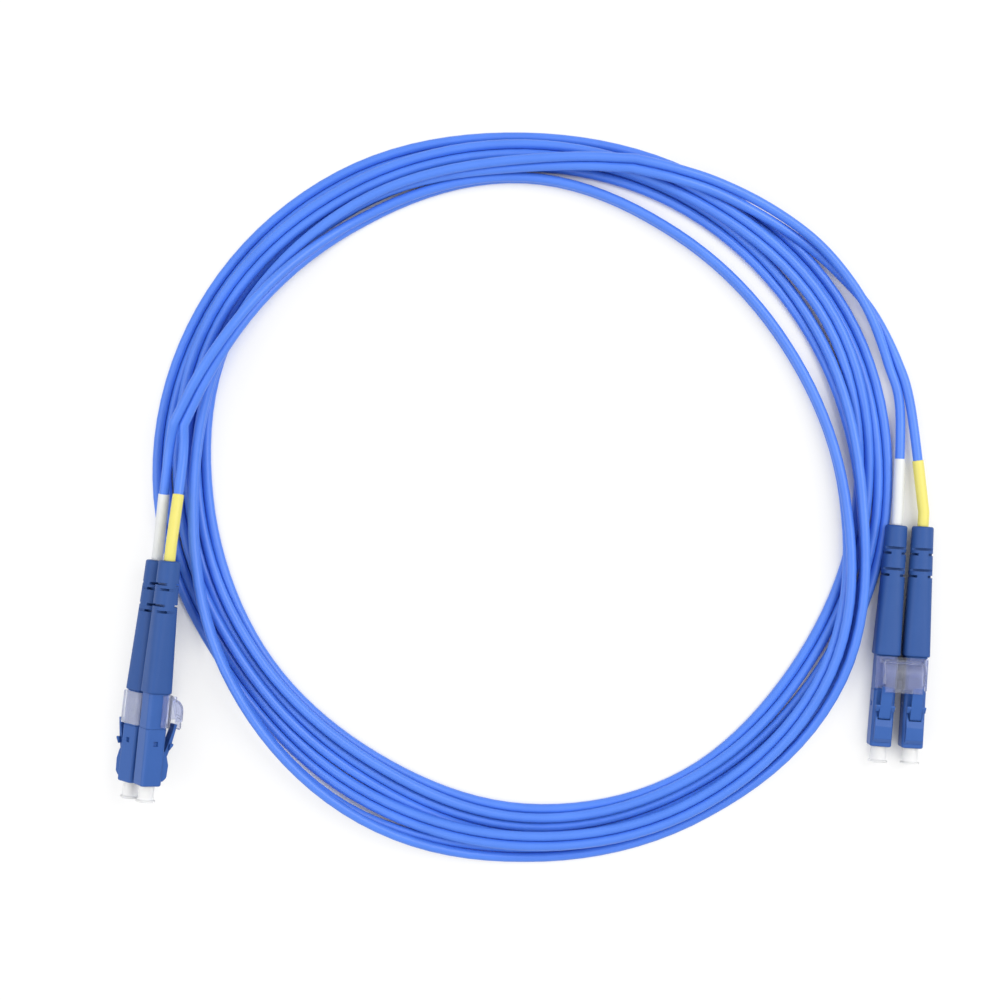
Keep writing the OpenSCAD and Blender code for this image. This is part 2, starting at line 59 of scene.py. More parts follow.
camera_data = bpy.data.cameras.new("overhead_camera")
camera = bpy.data.objects.new("overhead_camera", camera_data)
bpy.context.scene.collection.objects.link(camera)
camera.location = (*CAMERA_XY, CAMERA_HEIGHT)
camera_data.sensor_width = SENSOR
camera_data.lens = SENSOR * (CAMERA_HEIGHT - FOCUS_PLANE) / FIELD
camera_data.clip_start = 0.01
camera_data.clip_end = 10.0
bpy.context.scene.camera = camera
bpy.context.scene.view_settings.view_transform = "Standard"


def area_light(name, place, aim, size, power):
    """A square soft light at place, turned towards aim."""
    data = bpy.data.lights.new(name, "AREA")
    data.size = size
    data.energy = power
    lamp = bpy.data.objects.new(name, data)
    bpy.context.scene.collection.objects.link(lamp)
    lamp.location = place
    away = np.array(place) - np.array(aim)
    lamp.rotation_mode = "QUATERNION"
    lamp.rotation_quaternion = Vector(away.tolist()).to_track_quat("Z", "Y")


area_light("key_window", (0.45, 0.22, 0.65), (0, 0, 0), 0.55, 4.15)
area_light("fill_card", (-0.50, -0.10, 0.60), (0, 0, 0), 0.70, 2.7)

world = bpy.data.worlds.new("studio")
bpy.context.scene.world = world
world.use_nodes = True
sky = world.node_tree
sky.nodes.clear()


def add(tree, kind, **settings):
    """A new shader node with its settings or, where the name is an input's, its values."""
    made = tree.nodes.new(kind)
    for key, value in settings.items():
        if key in made.inputs:
            made.inputs[key].default_value = value
        else:
            setattr(made, key, value)
    return made


def any_view_ray(tree):
    """1 for rays that see the backdrop directly, in a reflection or through glass, else 0."""
    path = add(tree, "ShaderNodeLightPath")
    first = add(tree, "ShaderNodeMath", operation="MAXIMUM")
    second = add(tree, "ShaderNodeMath", operation="MAXIMUM")
    tree.links.new(path.outputs["Is Camera Ray"], first.inputs[0])
    tree.links.new(path.outputs["Is Glossy Ray"], first.inputs[1])
    tree.links.new(first.outputs[0], second.inputs[0])
    tree.links.new(path.outputs["Is Transmission Ray"], second.inputs[1])
    return second.outputs[0]


ROOM_LIGHT = 0.62
dim_room = add(sky, "ShaderNodeBackground", Color=(1, 1, 1, 1), Strength=ROOM_LIGHT)
white_room = add(sky, "ShaderNodeBackground", Color=(1, 1, 1, 1), Strength=1.0)
room_mix = add(sky, "ShaderNodeMixShader")
room_out = add(sky, "ShaderNodeOutputWorld")
sky.links.new(any_view_ray(sky), room_mix.inputs[0])
sky.links.new(dim_room.outputs[0], room_mix.inputs[1])
sky.links.new(white_room.outputs[0], room_mix.inputs[2])
sky.links.new(room_mix.outputs[0], room_out.inputs[0])

TABLE_SIZE = 3.0
TABLE_LIFT = 0.72
# Reach and limits of the ambient occlusion that paints shade into the table's tight gaps
GAP_REACH = 0.010
GAP_CLOSED = 0.42
GAP_OPEN = 0.62
bpy.ops.mesh.primitive_plane_add(size=TABLE_SIZE, location=(0, 0, 0))
table = bpy.context.object
table.name = "table"
white_top = bpy.data.materials.new("white_table")
white_top.use_nodes = True
top = white_top.node_tree
top.nodes.clear()
matt = add(top, "ShaderNodeBsdfDiffuse", Color=(0.92, 0.92, 0.92, 1))
lift = add(top, "ShaderNodeEmission", Color=(1, 1, 1, 1), Strength=1.0)
top_mix = add(top, "ShaderNodeMixShader")
lift_share = add(top, "ShaderNodeMath", operation="MULTIPLY")
top_out = add(top, "ShaderNodeOutputMaterial")
# The lift fades out where ambient occlusion finds the table closed in. This paints shade into the
# deep gaps between strands, on top of their real shadow
openness = add(top, "ShaderNodeAmbientOcclusion", samples=8, Distance=GAP_REACH)
fade_range = {"From Min": GAP_CLOSED, "From Max": GAP_OPEN, "To Max": TABLE_LIFT}
gap_fade = add(top, "ShaderNodeMapRange", **fade_range)
top.links.new(openness.outputs["AO"], gap_fade.inputs["Value"])
top.links.new(any_view_ray(top), lift_share.inputs[0])
top.links.new(gap_fade.outputs["Result"], lift_share.inputs[1])
top.links.new(lift_share.outputs[0], top_mix.inputs[0])
top.links.new(matt.outputs[0], top_mix.inputs[1])
top.links.new(lift.outputs[0], top_mix.inputs[2])
top.links.new(top_mix.outputs[0], top_out.inputs[0])
table.data.materials.append(white_top)


# ---- Shared finish: moulded and extruded plastic ------------------------------------------
# Every plastic here has a slightly uneven tone, a fine skin that breaks up its gloss, and a
# faint ripple. One node group makes all three from noise on the piece's own place.

finish_group = bpy.data.node_groups.new("plastic_skin", "ShaderNodeTree")
face = finish_group.interface
for label, kind, value in (
    ("Colour", "NodeSocketColor", (0.5, 0.5, 0.5, 1)),
    ("Deep Colour", "NodeSocketColor", (0.4, 0.4, 0.4, 1)),
    ("Patch Size", "NodeSocketFloat", 4.0),
    ("Skin Size", "NodeSocketFloat", 0.3),
    ("Smoothness", "NodeSocketFloat", 0.35),
    ("Unevenness", "NodeSocketFloat", 0.1),
):
    made_socket = face.new_socket(name=label, in_out="INPUT", socket_type=kind)
    made_socket.default_value = value
for label, kind in (
    ("Colour", "NodeSocketColor"),
    ("Roughness", "NodeSocketFloat"),
    ("Height", "NodeSocketFloat"),
):
    face.new_socket(name=label, in_out="OUTPUT", socket_type=kind)
g = finish_group
g_in = add(g, "NodeGroupInput")
g_out = add(g, "NodeGroupOutput")
g_place = add(g, "ShaderNodeTexCoord")


def noise_of_size(tree, size_socket, detail):
    """Noise whose patches are about as wide as the value, in millimetres, of size_socket."""
    per_metre = add(tree, "ShaderNodeMath", operation="DIVIDE")
    per_metre.inputs[0].default_value = 1000.0
    tree.links.new(size_socket, per_metre.inputs[1])
    noise = add(tree, "ShaderNodeTexNoise", Detail=detail)
    tree.links.new(per_metre.outputs[0], noise.inputs["Scale"])
    return noise


g_patch = noise_of_size(g, g_in.outputs["Patch Size"], 3.0)
g_skin = noise_of_size(g, g_in.outputs["Skin Size"], 2.0)
g.links.new(g_place.outputs["Object"], g_patch.inputs["Vector"])
g.links.new(g_place.outputs["Object"], g_skin.inputs["Vector"])
g_tone = add(g, "ShaderNodeMix", data_type="RGBA")
g.links.new(g_patch.outputs["Fac"], g_tone.inputs["Factor"])
g.links.new(g_in.outputs["Deep Colour"], g_tone.inputs["A"])
g.links.new(g_in.outputs["Colour"], g_tone.inputs["B"])
g.links.new(g_tone.outputs["Result"], g_out.inputs["Colour"])
g_centred = add(g, "ShaderNodeMath", operation="SUBTRACT")
g_centred.inputs[1].default_value = 0.5
g_spread = add(g, "ShaderNodeMath", operation="MULTIPLY_ADD")
g.links.new(g_skin.outputs["Fac"], g_centred.inputs[0])
g.links.new(g_centred.outputs[0], g_spread.inputs[0])
g.links.new(g_in.outputs["Unevenness"], g_spread.inputs[1])
g.links.new(g_in.outputs["Smoothness"], g_spread.inputs[2])
g.links.new(g_spread.outputs[0], g_out.inputs["Roughness"])
g.links.new(g_skin.outputs["Fac"], g_out.inputs["Height"])


def plastic(name, colour, deep, patch, skin, rough, uneven, relief, **shader):
    """A material whose tone, gloss and ripple come from the shared skin, and the rest from
    shader. The two sizes and the relief are in millimetres."""
    material = bpy.data.materials.new(name)
    material.use_nodes = True
    tree = material.node_tree
    bsdf = tree.nodes["Principled BSDF"]
    for key, value in shader.items():
        bsdf.inputs[key].default_value = value
    skin_node = add(tree, "ShaderNodeGroup")
    skin_node.node_tree = finish_group
    skin_node.inputs["Colour"].default_value = (*colour, 1)
    skin_node.inputs["Deep Colour"].default_value = (*deep, 1)
    skin_node.inputs["Patch Size"].default_value = patch
    skin_node.inputs["Skin Size"].default_value = skin
    skin_node.inputs["Smoothness"].default_value = rough
    skin_node.inputs["Unevenness"].default_value = uneven
    bump = add(tree, "ShaderNodeBump", Strength=1.0, Distance=relief * MM)
    tree.links.new(skin_node.outputs["Colour"], bsdf.inputs["Base Color"])
    tree.links.new(skin_node.outputs["Roughness"], bsdf.inputs["Roughness"])
    tree.links.new(skin_node.outputs["Height"], bump.inputs["Height"])
    tree.links.new(bump.outputs["Normal"], bsdf.inputs["Normal"])
    return material


# ---- The cord's two strands -----------------------------------------------------------------
# Two 2 mm strands of zip cord, each a tight-buffered fibre in aramid yarn under an extruded
# blue jacket. They leave the left boots, wind about four and a half turns clockwise and end in
# the right boots.

STRAND_D = 2.0
STRAND_PITCH = 2.05
LAYER_H = 2.5
STATIONS = 12
COIL_START = 0.5
COIL_END = 51.5
COIL_STEPS = 10
END_STUB = STRAND_D
LEAD_IN = 14.8
STRAIGHT_OUT = 3.0
LEFT_STEPS = 12
RIGHT_STEPS = 8
JACKET_SWELL = 0.02
strand_r = STRAND_D / 2

TURN_R = [
    [74.9, 69.4, 67.5, 67.1, 63.8, 63.5, 66.8, 72.8, 73.7, 72.0, 71.4, 71.6],
    [76.3, 77.9, 77.2, 74.8, 75.6, 77.2, 75.4, 73.0, 71.5, 70.5, 67.3, 68.0],
    [71.9, 74.9, 74.0, 72.9, 72.6, 74.0, 71.2, 68.4, 68.0, 66.5, 63.7, 64.8],
    [67.7, 72.0, 71.6, 70.65, 70.3, 69.8, 70.3, 76.0, 75.8, 74.9, 75.3, 72.2],
    [69.3, 70.4, 70.5, 69.5, 75.3, 79.4],
]
TURN_LAYER = [
    [2.8, 3.1, 0, 0, 0, 0, 0.9, 1.3, 1, 1.2, 0.3, 0],
    [0, 0, 0, 0, 0, 0, 0, 0, 0, 0, 0, 0],
    [0, 1, 1, 1, 1, 1, 0, 0, 0, 0, 0, 0],
    [0, 0, 0, 0, 0, 0, 1, 1, 0, 0, 0.5, 1.3],
    [1, 1, 1, 1.7, 2, 1],
]
TURN_ROLL = [
    [0, 55, 75, 90, 90, 90, 90, 45, 0, 0, 0, 0],
    [0, 0, 0, 0, 0, 0, 0, 0, 0, 0, 0, 50],
    [0, 0, 0, 0, 0, 0, 0, 0, 60, 30, 60, 60],
    [0, 0, 0, 0, 0, 45, 90, 75, 0, 0, 80, 90],
    [90, 90, 85, 45, 0, 0],
]
PLUG_PLACE = {
    "left_a": ((-76.8, -13.2, 5.1), 130, -96.6),
    "left_b": ((-73.3, -13.2, 10.1), -125, -95.8),
    "right_a": ((78.0, -5.9, 2.8), 0, -94.7),
    "right_b": ((83.5, -6.2, 2.8), 0, -93.3),
    "right_pair": ((80.75, -6.05, 2.8), 0, -94.0),
}
# Degrees clockwise from 12 o'clock, radius and height of each lead between plug and coil
LEAD_ROUTE = {
    "left_a": [(276, 74.7, 6.4)],
    "left_b": [(276, 71.4, 7.8)],
    "right_a": [
        (25, 75.3, 6.2), (32, 77.1, 5.3), (40, 79.2, 4.0), (48, 81.0, 3.6),
        (55, 81.8, 3.2), (62, 81.9, 3.2), (70, 81.4, 1.9), (77, 80.9, 2.2),
    ],
    "right_b": [
        (25, 73.2, 6.2), (32, 75.0, 5.3), (40, 77.0, 3.6), (48, 79.4, 2.0),
        (55, 81.3, 1.06), (62, 82.9, 1.06), (70, 83.4, 1.6), (77, 83.2, 2.3),
    ],
}


def smooth_along(values, places):
    """Values at fractional places of a list: a cubic through each neighbouring four
    (Catmull-Rom)."""
    values = np.asarray(values, float)
    i = np.floor(places).astype(int)
    f = places - i
    if values.ndim > 1:
        f = f[:, None]
    p, q, r, t = (values[np.clip(i + k, 0, len(values) - 1)] for k in (-1, 0, 1, 2))
    return q + 0.5 * f * ((r - p) + f * (2 * p - 5 * q + 4 * r - t + f * (3 * (q - r) + t - p)))


def coil_points(places, side):
    """Middle line of strand a (side 1) or b (side -1): radius, layer and roll of the pair at each
    place round the coil, with the strand half a pitch from the pair's middle."""
    radius = smooth_along(sum(TURN_R, []), places)
    layer = np.maximum(0, smooth_along(sum(TURN_LAYER, []), places))
    roll = np.radians(np.maximum(0, smooth_along(sum(TURN_ROLL, []), places)))
    r = radius + side * STRAND_PITCH / 2 * np.cos(roll)
    z = strand_r + layer * LAYER_H + (1 + side) * STRAND_PITCH / 2 * np.sin(roll)
    bearing = np.radians(180 - places * 360 / STATIONS)
    return np.stack([r * np.cos(bearing), r * np.sin(bearing), z], axis=1)


def plug_axes(end):
    """The plug's origin and its forward, sideways and upward directions, in the cord's frame."""
    place, roll, heading = PLUG_PLACE[end]
    a, h = math.radians(roll), math.radians(heading)
    forward = np.array([math.cos(h), math.sin(h), 0.0])
    level = np.array([-math.sin(h), math.cos(h), 0.0])
    up = np.array([0.0, 0.0, 1.0])
    sideways = math.cos(a) * level + math.sin(a) * up
    upward = -math.sin(a) * level + math.cos(a) * up
    return np.array(place), forward, sideways, upward


def in_plug(end, points):
    """Points of a plug's own frame, in millimetres, as points of the cord's frame in metres."""
    origin, forward, sideways, upward = plug_axes(end)
    points = np.asarray(points, float)
    placed = (
        origin
        + points[..., :1] * forward
        + points[..., 1:2] * sideways
        + points[..., 2:3] * upward
    )
    return placed * MM


def polar(point):
    """A route point as x, y and z in millimetres."""
    angle = math.radians(point[0])
    return [point[1] * math.sin(angle), point[1] * math.cos(angle), point[2]]


def lead_points(end, meet, meet_dir, steps):
    """From inside the boot, straight out of it, by the route's points, to the coil's end at
    meet."""
    origin, forward, _, _ = plug_axes(end)
    route = [polar(p) for p in LEAD_ROUTE[end]]
    if end.startswith("right"):
        route = route[::-1]
    knots = [origin - STRAIGHT_OUT * forward, *route, meet - END_STUB * meet_dir, meet]
    knots = np.array([list(k) for k in knots])
    bend = smooth_along(knots[:-1], np.arange(0, len(knots) - 2, 1 / steps))
    inside = [origin + LEAD_IN * forward, origin + 0.5 * LEAD_IN * forward, origin]
    return np.concatenate([np.array(inside), bend, knots[-2:]])


def strand_line(side):
    """The whole middle line of one strand, in metres, from the left crimp to the right one."""
    count = int((COIL_END - COIL_START) * COIL_STEPS) + 1
    coil = coil_points(np.linspace(COIL_START, COIL_END, count), side)
    tag = "a" if side > 0 else "b"
    first = (coil[0] - coil[1]) / np.linalg.norm(coil[0] - coil[1])
    last = (coil[-1] - coil[-2]) / np.linalg.norm(coil[-1] - coil[-2])
    left = lead_points("left_" + tag, coil[0] + END_STUB * first, -first, LEFT_STEPS)
    right = lead_points("right_" + tag, coil[-1] + END_STUB * last, -last, RIGHT_STEPS)
    return np.concatenate([left, coil, right[::-1]]) * MM


jacket = plastic(
    "blue_jacket", (0.078, 0.225, 0.80), (0.060, 0.180, 0.68), 9.0, 0.25, 0.36, 0.10, 0.004,
    **{"Specular IOR Level": 0.45},
)
strand_paths = {}
for side, tag in ((1, "a"), (-1, "b")):
    line = strand_line(side)
    strand_paths[tag] = line
    curve = bpy.data.curves.new(f"strand_{tag}", "CURVE")
    curve.dimensions = "3D"
    curve.bevel_depth = (strand_r + JACKET_SWELL) * MM
    curve.bevel_resolution = 5
    curve.use_fill_caps = True
    spline = curve.splines.new("POLY")
    spline.points.add(len(line) - 1)
    spline.points.foreach_set("co", np.c_[line, np.ones(len(line))].ravel())
    spline.use_smooth = True
    strand = bpy.data.objects.new(f"strand_{tag}", curve)
    bpy.context.scene.collection.objects.link(strand)
    curve.materials.append(jacket)
    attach(strand, ROOT)
    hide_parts(f"coil_strand_{tag}", f"left_lead_{tag}", f"right_lead_{tag}")


# ---- The marker sleeves -----------------------------------------------------------------------
# A short soft sleeve slid onto each strand against its boot, white on strand a and yellow on b.
# It is cut from thin tubing, so its ends are square with a slightly rounded lip.

SLEEVE_LENGTH = 13.9
SLEEVE_BORE_R = strand_r + 0.025
SLEEVE_WALL = 0.15
SLEEVE_GAP = 0.02
LIP = 0.07
LIP_STEP = 0.02
HALF_STEP = 0.5 * MM
SHARP_EDGE = math.radians(40)
SLEEVE_WHITE = ((0.70, 0.715, 0.72), (0.66, 0.675, 0.68))
SLEEVE_YELLOW = ((0.74, 0.67, 0.165), (0.70, 0.63, 0.145))


def joined_rings(name, rings, wraps):
    """A mesh through rings of points, an array of rings x points round x 3: each point is
    joined to the next one round its ring and to the same one on the next ring. Where wraps is
    true the last ring is joined to the first, else each end ring is one point on an axis."""
    count, around = rings.shape[:2]
    i = np.arange(count if wraps else count - 1)[:, None]
    j = np.arange(around)[None, :]
    after, beside = (i + 1) % count, (j + 1) % around
    quads = np.stack(
        [i * around + j, i * around + beside, after * around + beside, after * around + j], -1
    ).reshape(-1, 4)
    corners = rings.reshape(-1, 3)
    p, q, r, t = (corners[quads[:, k]] for k in range(4))
    volume = (np.cross(p, q) * r).sum() + (np.cross(p, r) * t).sum()
    if volume < 0:
        quads = quads[:, ::-1]
    mesh = bpy.data.meshes.new(name)
    mesh.from_pydata(corners.tolist(), [], quads.tolist())
    if not wraps:
        editing = bmesh.new()
        editing.from_mesh(mesh)
        bmesh.ops.remove_doubles(editing, verts=editing.verts, dist=1e-8)
        editing.to_mesh(mesh)
        editing.free()
    mesh.shade_smooth()
    mesh.set_sharp_from_angle(angle=SHARP_EDGE)
    piece = bpy.data.objects.new(name, mesh)
    bpy.context.scene.collection.objects.link(piece)
    return piece


def from_mouth(end):
    """A strand's middle line from its boot's mouth outwards, and the distance run at each
    point."""
    line = strand_paths[end[-1]]
    if end.startswith("right"):
        line = line[::-1]
    line = line[2:]
    run = np.r_[0, np.cumsum(np.linalg.norm(np.diff(line, axis=0), axis=1))]
    return line, run


def along_strand(end, stations, radii, around=40):
    """A profile carried along a strand: a circle of each radius, square to the strand, at each
    distance from the boot's mouth."""
    line, run = from_mouth(end)
    s = np.asarray(stations, float) * MM
    centre = np.stack([np.interp(s, run, line[:, k]) for k in range(3)], 1)
    before, after = np.maximum(0, s - HALF_STEP), s + HALF_STEP
    behind = np.stack([np.interp(before, run, line[:, k]) for k in range(3)], 1)
    ahead = np.stack([np.interp(after, run, line[:, k]) for k in range(3)], 1)
    tangent = ahead - behind
    tangent /= np.linalg.norm(tangent, axis=1)[:, None]
    level = np.cross(tangent, [0.0, 0.0, 1.0])
    level /= np.linalg.norm(level, axis=1)[:, None]
    over = np.cross(level, tangent)
    turn = np.linspace(0, 2 * np.pi, around, endpoint=False)
    r = np.asarray(radii, float)[:, None, None] * MM
    return centre[:, None] + r * (
        np.cos(turn)[None, :, None] * level[:, None] + np.sin(turn)[None, :, None] * over[:, None]
    )


sleeve_outer = SLEEVE_BORE_R + SLEEVE_WALL
body_run = np.linspace(0.6, SLEEVE_LENGTH - 0.6, 26)
sleeve_stations = np.r_[
    SLEEVE_GAP, SLEEVE_GAP + LIP_STEP, SLEEVE_GAP + LIP, body_run,
    SLEEVE_LENGTH - LIP, SLEEVE_LENGTH - LIP_STEP, SLEEVE_LENGTH,
    SLEEVE_LENGTH, body_run[::-1], SLEEVE_GAP,
]
lip_radii = np.array([sleeve_outer - LIP, sleeve_outer - LIP_STEP, sleeve_outer])
sleeve_radii = np.r_[
    lip_radii, np.full(len(body_run), sleeve_outer), lip_radii[::-1],
    np.full(len(body_run) + 2, SLEEVE_BORE_R),
]
white_sleeve, yellow_sleeve = (
    plastic(name, *tint, 2.5, 0.35, 0.42, 0.18, 0.012, **{"Specular IOR Level": 0.4})
    for name, tint in (("white_sleeve", SLEEVE_WHITE), ("yellow_sleeve", SLEEVE_YELLOW))
)
for end in ENDS:
    sleeve = joined_rings(
        f"{end}_sleeve_tube", along_strand(end, sleeve_stations, sleeve_radii), True
    )
    sleeve.data.materials.append(white_sleeve if end.endswith("a") else yellow_sleeve)
    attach(sleeve, ROOT)
    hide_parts(f"{end}_marker_sleeve")


# ---- The strain relief boots ------------------------------------------------------------------
# A soft blue boot pushed over each crimp. It is round where the strand enters and a rounded
# square at the plug. Four short cuts near its rear let it bend, every other one from its flanks.

BOOT_LENGTH = 27.3
BOOT_REAR_R = 2.25
BOOT_FRONT_R = 2.8
ROUND_POWER = 2
SQUARE_GAIN = 1.9
SQUARE_GROWTH = 1.6
REAR_FILLET = 0.45
FRONT_FILLET = 0.40
# Each cut's start, and 1 where it is in the flanks or 0 where it is above and below
BOOT_CUTS = ((4.5, 0), (5.6, 1), (8.9, 0), (10.2, 1))
CUT_WIDTH = 0.5
BRIDGE = 1.1
LEDGE = 2.15
LEDGE_TOP = 0.2
BOOT_BLUE = ((0.030, 0.088, 0.290), (0.024, 0.076, 0.262))


def boot_radius(x, turn):
    """Distance from the boot's axis to its skin, at a station and a turn: a superellipse whose
    half width and power both grow from rear to front, less a fillet at each end. Inside a cut it
    stops at the flat bridge, 1.1 mm either side of the middle. Where the sine of the turn is
    under 0.2, a flank's cut leaves a ledge up to 2.15 mm from the middle."""
    share = np.clip(x / BOOT_LENGTH, 0, 1)
    half = BOOT_REAR_R + (BOOT_FRONT_R - BOOT_REAR_R) * share
    power = ROUND_POWER + SQUARE_GAIN * share**SQUARE_GROWTH
    c, s = np.abs(np.cos(turn)), np.abs(np.sin(turn))
    radius = half / (c**power + s**power) ** (1 / power)
    for fillet, inside in ((REAR_FILLET, x), (FRONT_FILLET, BOOT_LENGTH - x)):
        short = np.clip(fillet - inside, 0, fillet)
        radius = radius - (fillet - np.sqrt(fillet**2 - short**2))
    for start, turned in BOOT_CUTS:
        in_cut = (x > start) & (x < start + CUT_WIDTH)
        reach = np.where(turned & (np.sin(turn) < LEDGE_TOP), LEDGE, BRIDGE)
        floor = reach / np.maximum(1e-6, c if turned else s)
        radius = np.where(in_cut, np.minimum(radius, floor), radius)
    return radius


cut_edges = [
    start + k * CUT_WIDTH + d for start, _ in BOOT_CUTS for k in (0, 1) for d in (-0.01, 0.01)
]
plain_run = [
    x for x in np.linspace(0.5, BOOT_LENGTH - 0.45, 60)
    if all(abs(x - start - CUT_WIDTH / 2) > CUT_WIDTH for start, _ in BOOT_CUTS)
]
ends_run = [0, 0.03, 0.09, 0.18, 0.3, 0.44]
boot_x = np.array(sorted(ends_run + plain_run + cut_edges + [BOOT_LENGTH - e for e in ends_run]))
boot_turn = np.linspace(0, 2 * np.pi, 72, endpoint=False)
skin_r = boot_radius(boot_x[:, None], boot_turn[None, :])
# The bore, from the front back to the rear: room for the body's collar, the crimp and the strand
bore = np.array([
    (BOOT_LENGTH, 2.05), (23.5, 2.05), (23.5, 1.95), (14.8, 1.95), (14.8, 1.09), (0, 1.09),
])
boot_rings = np.concatenate([
    np.stack([
        np.broadcast_to(boot_x[:, None], skin_r.shape),
        skin_r * np.cos(boot_turn), skin_r * np.sin(boot_turn),
    ], -1),
    np.stack([
        np.broadcast_to(bore[:, :1], (len(bore), len(boot_turn))),
        bore[:, 1:] * np.cos(boot_turn), bore[:, 1:] * np.sin(boot_turn),
    ], -1),
])
boot_blue = plastic(
    "boot_blue", *BOOT_BLUE, 5.0, 0.16, 0.48, 0.22, 0.010, **{"Specular IOR Level": 0.22}
)
for end in ENDS:
    # The left boots sit the other way up on their plugs
    way = [1, -1, -1] if end.startswith("left") else [1, 1, 1]
    boot = joined_rings(f"{end}_relief_boot", in_plug(end, boot_rings * way), True)
    boot.data.materials.append(boot_blue)
    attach(boot, ROOT)
    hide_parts(f"{end}_boot")


# ---- The plug bodies --------------------------------------------------------------------------
# A stiff blue moulding in two halves: a square rear body that the boot is pushed over, and the
# housing that goes into the port. A lug of the one snaps into a square window of the other.

PLUG_BLUE = ((0.038, 0.112, 0.370), (0.030, 0.098, 0.336))
HOUSING_HALF = 2.26
HOUSING_CHAMFER = 0.45
HOUSING_START = 34.6
HOUSING_END = 46.4
REAR_HALF = 2.25
REAR_CHAMFER = 0.6
# The side windows: start, end, half height and how far from the axis their floor lies
WINDOW = (37.1, 38.1, 0.5, 1.75)
# Station and radius of the housing's hollow, from the nose back: the cap's seat, the ferrule's
# hole, the flange's room and the rear body's seat
HOUSING_HOLLOW = [
    (46.4, 1.92), (46.33, 1.85), (43.0, 1.85), (43.0, 0.8), (42.2, 0.8), (42.2, 1.55),
    (38.5, 1.55), (38.5, 1.72), (34.6, 1.72),
]
# The rear body's outside up to its square, and its tongue and bore beyond it
REAR_NECK = [(16.0, 1.2), (16.05, 1.25), (24.0, 1.25), (24.0, 1.95), (27.3, 1.95)]
REAR_TONGUE = [(34.58, 1.7), (38.4, 1.7), (38.4, 1.35), (32.5, 1.35), (32.5, 0.55), (16.0, 0.55)]
REAR_START = 27.32
REAR_END = 34.58
EASE = 0.01
EDGE_POWER = 44

# Degrees within a quarter turn at which a ring has a point, closest at the cut corner's edges
quarter = np.array([
    0, 6, 12.2, 12.8, 20, 27, 32, 35, 37, 38.7, 40.5, 42.5,
    45, 47.5, 49.5, 51.3, 53, 55, 58, 63, 70, 77.2, 77.8, 84,
])
body_turn = np.radians(np.concatenate([quarter + 90 * k for k in range(4)]))


def chamfered_radius(half, chamfer, turn):
    """Distance from the axis to a square with cut corners: the nearest of its eight flats, taken
    as a sum of high powers so that the flats meet in a slightly rounded edge."""
    c, s = np.abs(np.cos(turn)), np.abs(np.sin(turn))
    total = (c / half) ** EDGE_POWER + (s / half) ** EDGE_POWER
    total = total + ((c + s) / (2 * half - chamfer)) ** EDGE_POWER
    return total ** (-1 / EDGE_POWER)


def body_rings(stations):
    """Rings round the plug's axis, one for each (x, radius), where the radius is one number or
    one for each turn."""
    rows = []
    for x, radius in stations:
        r = np.broadcast_to(radius, body_turn.shape)
        rows.append(np.stack(
            [np.full(body_turn.shape, x), r * np.cos(body_turn), r * np.sin(body_turn)], -1
        ))
    return np.stack(rows)


def filleted(start, end, radius, fillets):
    """Stations of a bar between start and end: its section drawn in along a quarter circle by
    each end's fillet."""
    sweep = np.linspace(0, np.pi / 2, 6)
    along, inward = 1 - np.cos(sweep), 1 - np.sin(sweep)
    first, last = fillets
    stations = [(start + first * a, radius - first * b) for a, b in zip(along, inward)]
    return stations + [
        (end - last * a, radius - last * b) for a, b in zip(along[::-1], inward[::-1])
    ]


housing_skin = chamfered_radius(HOUSING_HALF, HOUSING_CHAMFER, body_turn)
on_side = np.abs(np.tan(body_turn)) * HOUSING_HALF < WINDOW[2]
windowed = np.where(on_side, WINDOW[3] / np.abs(np.cos(body_turn)), housing_skin)
bar = filleted(HOUSING_START, HOUSING_END, housing_skin, (0.07, 0.42))
window_stations = [
    (WINDOW[0] - EASE, housing_skin), (WINDOW[0] + EASE, windowed),
    (WINDOW[1] - EASE, windowed), (WINDOW[1] + EASE, housing_skin), (41.5, housing_skin),
]
housing_stations = bar[:6] + window_stations + bar[6:] + HOUSING_HOLLOW
rear_skin = chamfered_radius(REAR_HALF, REAR_CHAMFER, body_turn)
square_stations = filleted(REAR_START, REAR_END, rear_skin, (0.09, 0.09))
rear_stations = REAR_NECK + square_stations + REAR_TONGUE


def eased(corners, cut):
    """An outline with each corner turned into a short curve that starts this far from it."""
    here = np.asarray(corners, float)
    before, after = np.roll(here, 1, 0) - here, np.roll(here, -1, 0) - here
    length_before = np.linalg.norm(before, axis=1)[:, None]
    length_after = np.linalg.norm(after, axis=1)[:, None]
    a = here + before / length_before * np.minimum(cut, 0.45 * length_before)
    b = here + after / length_after * np.minimum(cut, 0.45 * length_after)
    return np.stack([a, 0.25 * a + 0.5 * here + 0.25 * b, b], 1).reshape(-1, 2)


